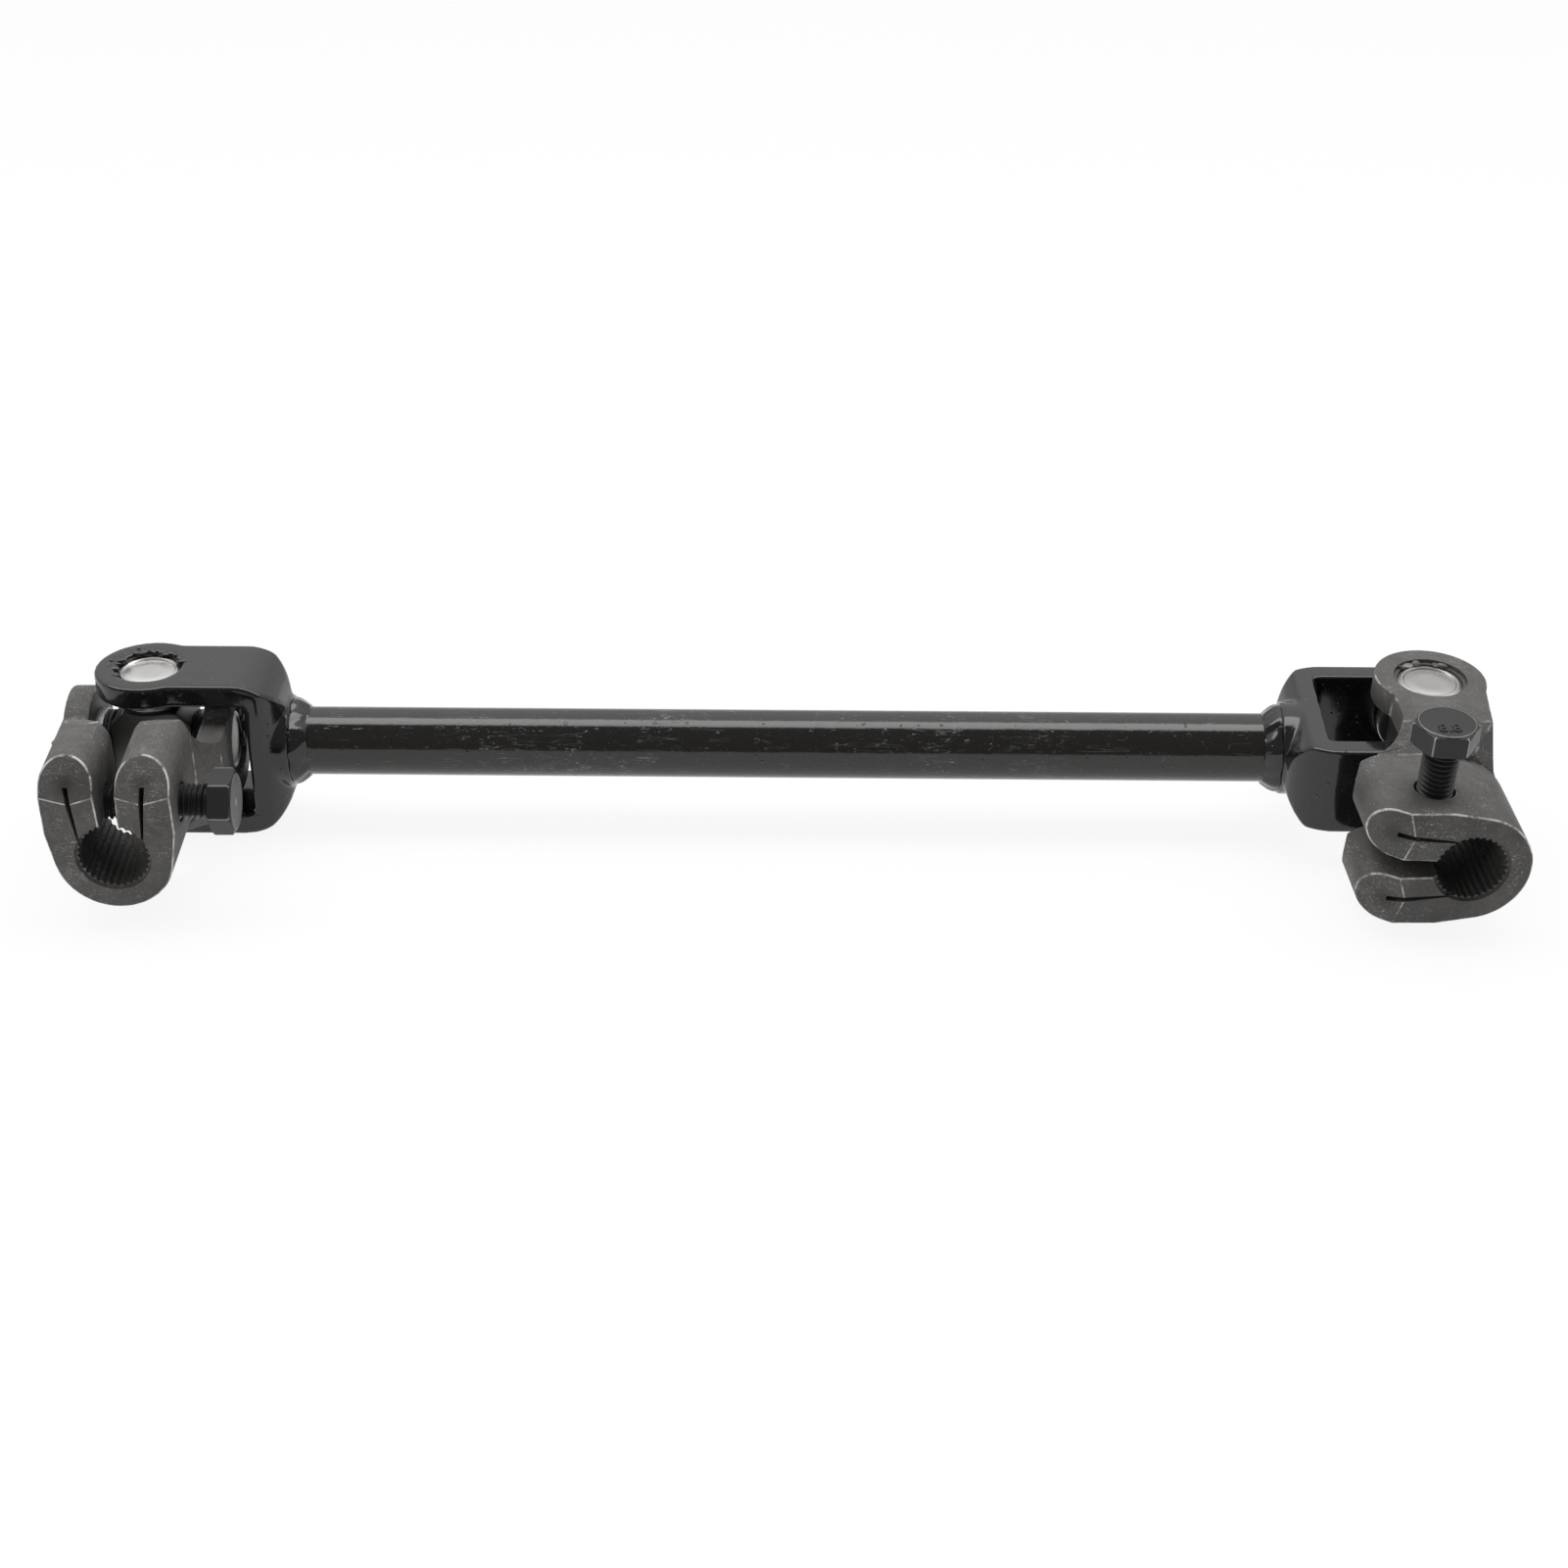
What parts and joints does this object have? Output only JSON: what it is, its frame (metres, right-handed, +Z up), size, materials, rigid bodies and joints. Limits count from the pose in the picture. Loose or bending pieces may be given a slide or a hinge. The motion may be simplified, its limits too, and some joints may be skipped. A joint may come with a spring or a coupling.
{
  "type": "steering intermediate shaft",
  "caption": "Steering intermediate shaft: round bar with a universal joint at each end, each joint with a folded pinch yoke, serrated bore and pinch bolt.",
  "frame": {"origin": "on the table under the middle of the whole part's box", "axes": "+X along the bar towards the right joint, +Z up from the table the part lies on, both pinch yokes' bores open towards -Y"},
  "size_m": [0.3311, 0.0713, 0.0503],
  "materials": {
    "gloss_black_paint": "gloss",
    "dark_coated_steel": "satin",
    "bearing_steel": "satin",
    "black_zinc_bolt": "satin",
    "seal_rubber": "matte"
  },
  "bodies": {
    "shaft": {"shaft_bar": "gloss_black_paint", "strap_cups": "bearing_steel", "strap_seals": "seal_rubber", "strap_yoke_left": "dark_coated_steel", "strap_yoke_right": "dark_coated_steel", "weld_beads": "gloss_black_paint"},
    "left_cross": {"cross_left": "bearing_steel"},
    "left_pinch_yoke": {"pinch_cup_left_a": "bearing_steel", "pinch_cup_left_b": "bearing_steel", "pinch_seal_left_a": "seal_rubber", "pinch_seal_left_b": "seal_rubber", "pinch_yoke_left": "dark_coated_steel"},
    "left_bolt": {"pinch_bolt_left": "black_zinc_bolt"},
    "right_cross": {"cross_right": "bearing_steel"},
    "right_pinch_yoke": {"pinch_cup_right_a": "bearing_steel", "pinch_cup_right_b": "bearing_steel", "pinch_seal_right_a": "seal_rubber", "pinch_seal_right_b": "seal_rubber", "pinch_yoke_right": "dark_coated_steel"},
    "right_bolt": {"pinch_bolt_right": "black_zinc_bolt"}
  },
  "joints": [
    {"name": "left_cross_in_strap_yoke", "type": "hinge", "parent": "shaft", "child": "left_cross", "pos_m": [-0.14605, 0.01567, 0.0205], "axis": [0, 0, 1], "range_deg": [-178, 0.5]},
    {"name": "left_pinch_yoke_on_cross", "type": "hinge", "parent": "left_cross", "child": "left_pinch_yoke", "pos_m": [-0.14605, 0.01567, 0.0205], "axis": [0.9998, 0.0175, 0], "range_deg": [-17, 3]},
    {"name": "left_bolt_screws_in", "type": "slide", "parent": "left_pinch_yoke", "child": "left_bolt", "axis": [-0.9998, -0.0175, 0], "range_m": [0, 0.0066]},
    {"name": "right_cross_in_strap_yoke", "type": "hinge", "parent": "shaft", "child": "right_cross", "pos_m": [0.14895, 0.01567, 0.0205], "axis": [0, 0.9986, 0.0523], "range_deg": [-6, 1.5]},
    {"name": "right_pinch_yoke_on_cross", "type": "hinge", "parent": "right_cross", "child": "right_pinch_yoke", "pos_m": [0.14895, 0.01567, 0.0205], "axis": [0.0349, -0.0523, 0.998], "range_deg": [0, 174]},
    {"name": "right_bolt_screws_in", "type": "slide", "parent": "right_pinch_yoke", "child": "right_bolt", "axis": [-0.0349, 0.0523, -0.998], "range_m": [0, 0.0115]}
  ]
}
